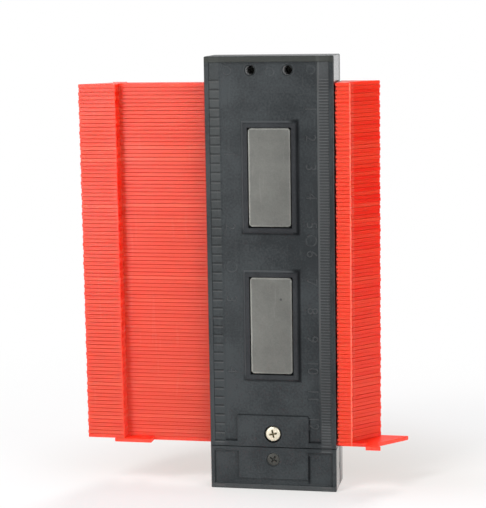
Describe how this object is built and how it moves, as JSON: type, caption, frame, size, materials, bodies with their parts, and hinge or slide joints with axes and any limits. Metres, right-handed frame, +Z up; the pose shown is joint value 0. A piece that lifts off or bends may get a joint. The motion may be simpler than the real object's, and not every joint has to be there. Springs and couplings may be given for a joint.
{
  "type": "contour gauge",
  "caption": "Upright contour gauge: a stack of thin red plastic teeth slides sideways through a slim black body with two magnets, ruler edges and a tension screw.",
  "frame": {"origin": "centre of the base, on the surface that the gauge stands on", "axes": "+Z up the stack of teeth, X along the teeth, -Y the magnet side with the rulers, +Y the tracing side"},
  "size_m": [0.1136, 0.0173, 0.1527],
  "materials": {
    "body_plastic": "fine textured moulding with glossier sides",
    "tooth_plastic": "satin, slightly translucent",
    "magnet": "sintered ferrite, matt grey",
    "brass": "pale, bright",
    "spring_steel": "rolled",
    "black_screw": "black oxide",
    "liner": "matt"
  },
  "bodies": {
    "body": {"rear_cover": "body_plastic", "front_housing": "body_plastic", "end_cover": "body_plastic", "magnet_upper": "magnet", "magnet_lower": "magnet", "tension_insert": "brass", "friction_liner": "liner", "cover_screws": "black_screw", "end_cover_screw": "black_screw"},
    "tension_screw": {"tension_screw": "brass"},
    "pressure_strip": {"pressure_strip": "spring_steel"},
    "tooth_01": {"tooth_01": "tooth_plastic"},
    "teeth_02_03": {"teeth_02_03": "tooth_plastic"},
    "teeth_04_05": {"teeth_04_05": "tooth_plastic"},
    "teeth_06_07": {"teeth_06_07": "tooth_plastic"},
    "teeth_08_09": {"teeth_08_09": "tooth_plastic"},
    "teeth_10_11": {"teeth_10_11": "tooth_plastic"},
    "teeth_12_13": {"teeth_12_13": "tooth_plastic"},
    "teeth_14_15": {"teeth_14_15": "tooth_plastic"},
    "teeth_16_17": {"teeth_16_17": "tooth_plastic"},
    "teeth_18_19": {"teeth_18_19": "tooth_plastic"},
    "teeth_20_21": {"teeth_20_21": "tooth_plastic"},
    "teeth_22_23": {"teeth_22_23": "tooth_plastic"},
    "teeth_24_25": {"teeth_24_25": "tooth_plastic"},
    "teeth_26_27": {"teeth_26_27": "tooth_plastic"},
    "teeth_28_29": {"teeth_28_29": "tooth_plastic"},
    "teeth_30_31": {"teeth_30_31": "tooth_plastic"},
    "teeth_32_33": {"teeth_32_33": "tooth_plastic"},
    "teeth_34_35": {"teeth_34_35": "tooth_plastic"},
    "teeth_36_37": {"teeth_36_37": "tooth_plastic"},
    "teeth_38_39": {"teeth_38_39": "tooth_plastic"},
    "teeth_40_41": {"teeth_40_41": "tooth_plastic"},
    "teeth_42_43": {"teeth_42_43": "tooth_plastic"},
    "teeth_44_45": {"teeth_44_45": "tooth_plastic"},
    "teeth_46_47": {"teeth_46_47": "tooth_plastic"},
    "teeth_48_49": {"teeth_48_49": "tooth_plastic"},
    "teeth_50_51": {"teeth_50_51": "tooth_plastic"},
    "teeth_52_53": {"teeth_52_53": "tooth_plastic"},
    "teeth_54_55": {"teeth_54_55": "tooth_plastic"},
    "teeth_56_57": {"teeth_56_57": "tooth_plastic"},
    "teeth_58_59": {"teeth_58_59": "tooth_plastic"},
    "teeth_60_61": {"teeth_60_61": "tooth_plastic"},
    "teeth_62_63": {"teeth_62_63": "tooth_plastic"},
    "teeth_64_65": {"teeth_64_65": "tooth_plastic"},
    "teeth_66_67": {"teeth_66_67": "tooth_plastic"},
    "teeth_68_69": {"teeth_68_69": "tooth_plastic"},
    "teeth_70_71": {"teeth_70_71": "tooth_plastic"},
    "teeth_72_73": {"teeth_72_73": "tooth_plastic"},
    "teeth_74_75": {"teeth_74_75": "tooth_plastic"},
    "teeth_76_77": {"teeth_76_77": "tooth_plastic"},
    "teeth_78_79": {"teeth_78_79": "tooth_plastic"},
    "teeth_80_81": {"teeth_80_81": "tooth_plastic"},
    "teeth_82_83": {"teeth_82_83": "tooth_plastic"},
    "teeth_84_85": {"teeth_84_85": "tooth_plastic"},
    "teeth_86_87": {"teeth_86_87": "tooth_plastic"},
    "teeth_88_89": {"teeth_88_89": "tooth_plastic"},
    "teeth_90_91": {"teeth_90_91": "tooth_plastic"},
    "teeth_92_93": {"teeth_92_93": "tooth_plastic"},
    "tooth_94": {"tooth_94": "tooth_plastic"}
  },
  "joints": [
    {"name": "tension_turn", "type": "hinge", "parent": "body", "child": "tension_screw", "pos_m": [0, -0.0085, 0.0203], "axis": [0, 1, 0], "range_deg": [-100, 100]},
    {"name": "pressure_press", "type": "slide", "parent": "body", "child": "pressure_strip", "axis": [0, 1, 0], "range_m": [-0.000125, 0.000125]},
    {"name": "tooth_01_slide", "type": "slide", "parent": "body", "child": "tooth_01", "axis": [1, 0, 0], "range_m": [-0.0099, 0.0216]},
    {"name": "teeth_02_03_slide", "type": "slide", "parent": "body", "child": "teeth_02_03", "axis": [1, 0, 0], "range_m": [0, 0.0312]},
    {"name": "teeth_04_05_slide", "type": "slide", "parent": "body", "child": "teeth_04_05", "axis": [1, 0, 0], "range_m": [0, 0.0312]},
    {"name": "teeth_06_07_slide", "type": "slide", "parent": "body", "child": "teeth_06_07", "axis": [1, 0, 0], "range_m": [0, 0.0312]},
    {"name": "teeth_08_09_slide", "type": "slide", "parent": "body", "child": "teeth_08_09", "axis": [1, 0, 0], "range_m": [0, 0.0312]},
    {"name": "teeth_10_11_slide", "type": "slide", "parent": "body", "child": "teeth_10_11", "axis": [1, 0, 0], "range_m": [0, 0.0312]},
    {"name": "teeth_12_13_slide", "type": "slide", "parent": "body", "child": "teeth_12_13", "axis": [1, 0, 0], "range_m": [0, 0.0312]},
    {"name": "teeth_14_15_slide", "type": "slide", "parent": "body", "child": "teeth_14_15", "axis": [1, 0, 0], "range_m": [0, 0.0312]},
    {"name": "teeth_16_17_slide", "type": "slide", "parent": "body", "child": "teeth_16_17", "axis": [1, 0, 0], "range_m": [0, 0.0312]},
    {"name": "teeth_18_19_slide", "type": "slide", "parent": "body", "child": "teeth_18_19", "axis": [1, 0, 0], "range_m": [0, 0.0312]},
    {"name": "teeth_20_21_slide", "type": "slide", "parent": "body", "child": "teeth_20_21", "axis": [1, 0, 0], "range_m": [0, 0.0312]},
    {"name": "teeth_22_23_slide", "type": "slide", "parent": "body", "child": "teeth_22_23", "axis": [1, 0, 0], "range_m": [0, 0.0312]},
    {"name": "teeth_24_25_slide", "type": "slide", "parent": "body", "child": "teeth_24_25", "axis": [1, 0, 0], "range_m": [0, 0.0312]},
    {"name": "teeth_26_27_slide", "type": "slide", "parent": "body", "child": "teeth_26_27", "axis": [1, 0, 0], "range_m": [0, 0.0312]},
    {"name": "teeth_28_29_slide", "type": "slide", "parent": "body", "child": "teeth_28_29", "axis": [1, 0, 0], "range_m": [0, 0.0312]},
    {"name": "teeth_30_31_slide", "type": "slide", "parent": "body", "child": "teeth_30_31", "axis": [1, 0, 0], "range_m": [0, 0.0312]},
    {"name": "teeth_32_33_slide", "type": "slide", "parent": "body", "child": "teeth_32_33", "axis": [1, 0, 0], "range_m": [0, 0.0312]},
    {"name": "teeth_34_35_slide", "type": "slide", "parent": "body", "child": "teeth_34_35", "axis": [1, 0, 0], "range_m": [0, 0.0312]},
    {"name": "teeth_36_37_slide", "type": "slide", "parent": "body", "child": "teeth_36_37", "axis": [1, 0, 0], "range_m": [0, 0.0312]},
    {"name": "teeth_38_39_slide", "type": "slide", "parent": "body", "child": "teeth_38_39", "axis": [1, 0, 0], "range_m": [0, 0.0312]},
    {"name": "teeth_40_41_slide", "type": "slide", "parent": "body", "child": "teeth_40_41", "axis": [1, 0, 0], "range_m": [0, 0.0312]},
    {"name": "teeth_42_43_slide", "type": "slide", "parent": "body", "child": "teeth_42_43", "axis": [1, 0, 0], "range_m": [0, 0.0312]},
    {"name": "teeth_44_45_slide", "type": "slide", "parent": "body", "child": "teeth_44_45", "axis": [1, 0, 0], "range_m": [0, 0.0312]},
    {"name": "teeth_46_47_slide", "type": "slide", "parent": "body", "child": "teeth_46_47", "axis": [1, 0, 0], "range_m": [0, 0.0312]},
    {"name": "teeth_48_49_slide", "type": "slide", "parent": "body", "child": "teeth_48_49", "axis": [1, 0, 0], "range_m": [0, 0.0312]},
    {"name": "teeth_50_51_slide", "type": "slide", "parent": "body", "child": "teeth_50_51", "axis": [1, 0, 0], "range_m": [0, 0.0312]},
    {"name": "teeth_52_53_slide", "type": "slide", "parent": "body", "child": "teeth_52_53", "axis": [1, 0, 0], "range_m": [0, 0.0312]},
    {"name": "teeth_54_55_slide", "type": "slide", "parent": "body", "child": "teeth_54_55", "axis": [1, 0, 0], "range_m": [0, 0.0312]},
    {"name": "teeth_56_57_slide", "type": "slide", "parent": "body", "child": "teeth_56_57", "axis": [1, 0, 0], "range_m": [0, 0.0312]},
    {"name": "teeth_58_59_slide", "type": "slide", "parent": "body", "child": "teeth_58_59", "axis": [1, 0, 0], "range_m": [0, 0.0312]},
    {"name": "teeth_60_61_slide", "type": "slide", "parent": "body", "child": "teeth_60_61", "axis": [1, 0, 0], "range_m": [0, 0.0312]},
    {"name": "teeth_62_63_slide", "type": "slide", "parent": "body", "child": "teeth_62_63", "axis": [1, 0, 0], "range_m": [0, 0.0312]},
    {"name": "teeth_64_65_slide", "type": "slide", "parent": "body", "child": "teeth_64_65", "axis": [1, 0, 0], "range_m": [0, 0.0312]},
    {"name": "teeth_66_67_slide", "type": "slide", "parent": "body", "child": "teeth_66_67", "axis": [1, 0, 0], "range_m": [0, 0.0312]},
    {"name": "teeth_68_69_slide", "type": "slide", "parent": "body", "child": "teeth_68_69", "axis": [1, 0, 0], "range_m": [0, 0.0312]},
    {"name": "teeth_70_71_slide", "type": "slide", "parent": "body", "child": "teeth_70_71", "axis": [1, 0, 0], "range_m": [0, 0.0312]},
    {"name": "teeth_72_73_slide", "type": "slide", "parent": "body", "child": "teeth_72_73", "axis": [1, 0, 0], "range_m": [0, 0.0312]},
    {"name": "teeth_74_75_slide", "type": "slide", "parent": "body", "child": "teeth_74_75", "axis": [1, 0, 0], "range_m": [0, 0.0312]},
    {"name": "teeth_76_77_slide", "type": "slide", "parent": "body", "child": "teeth_76_77", "axis": [1, 0, 0], "range_m": [0, 0.0312]},
    {"name": "teeth_78_79_slide", "type": "slide", "parent": "body", "child": "teeth_78_79", "axis": [1, 0, 0], "range_m": [0, 0.0312]},
    {"name": "teeth_80_81_slide", "type": "slide", "parent": "body", "child": "teeth_80_81", "axis": [1, 0, 0], "range_m": [0, 0.0312]},
    {"name": "teeth_82_83_slide", "type": "slide", "parent": "body", "child": "teeth_82_83", "axis": [1, 0, 0], "range_m": [0, 0.0312]},
    {"name": "teeth_84_85_slide", "type": "slide", "parent": "body", "child": "teeth_84_85", "axis": [1, 0, 0], "range_m": [0, 0.0312]},
    {"name": "teeth_86_87_slide", "type": "slide", "parent": "body", "child": "teeth_86_87", "axis": [1, 0, 0], "range_m": [0, 0.0312]},
    {"name": "teeth_88_89_slide", "type": "slide", "parent": "body", "child": "teeth_88_89", "axis": [1, 0, 0], "range_m": [0, 0.0312]},
    {"name": "teeth_90_91_slide", "type": "slide", "parent": "body", "child": "teeth_90_91", "axis": [1, 0, 0], "range_m": [0, 0.0312]},
    {"name": "teeth_92_93_slide", "type": "slide", "parent": "body", "child": "teeth_92_93", "axis": [1, 0, 0], "range_m": [0, 0.0312]},
    {"name": "tooth_94_slide", "type": "slide", "parent": "body", "child": "tooth_94", "axis": [1, 0, 0], "range_m": [0, 0.0312]}
  ],
  "couplings": [
    {"joint": "tension_turn", "follows": "pressure_press", "rad_per_m": 12566}
  ]
}
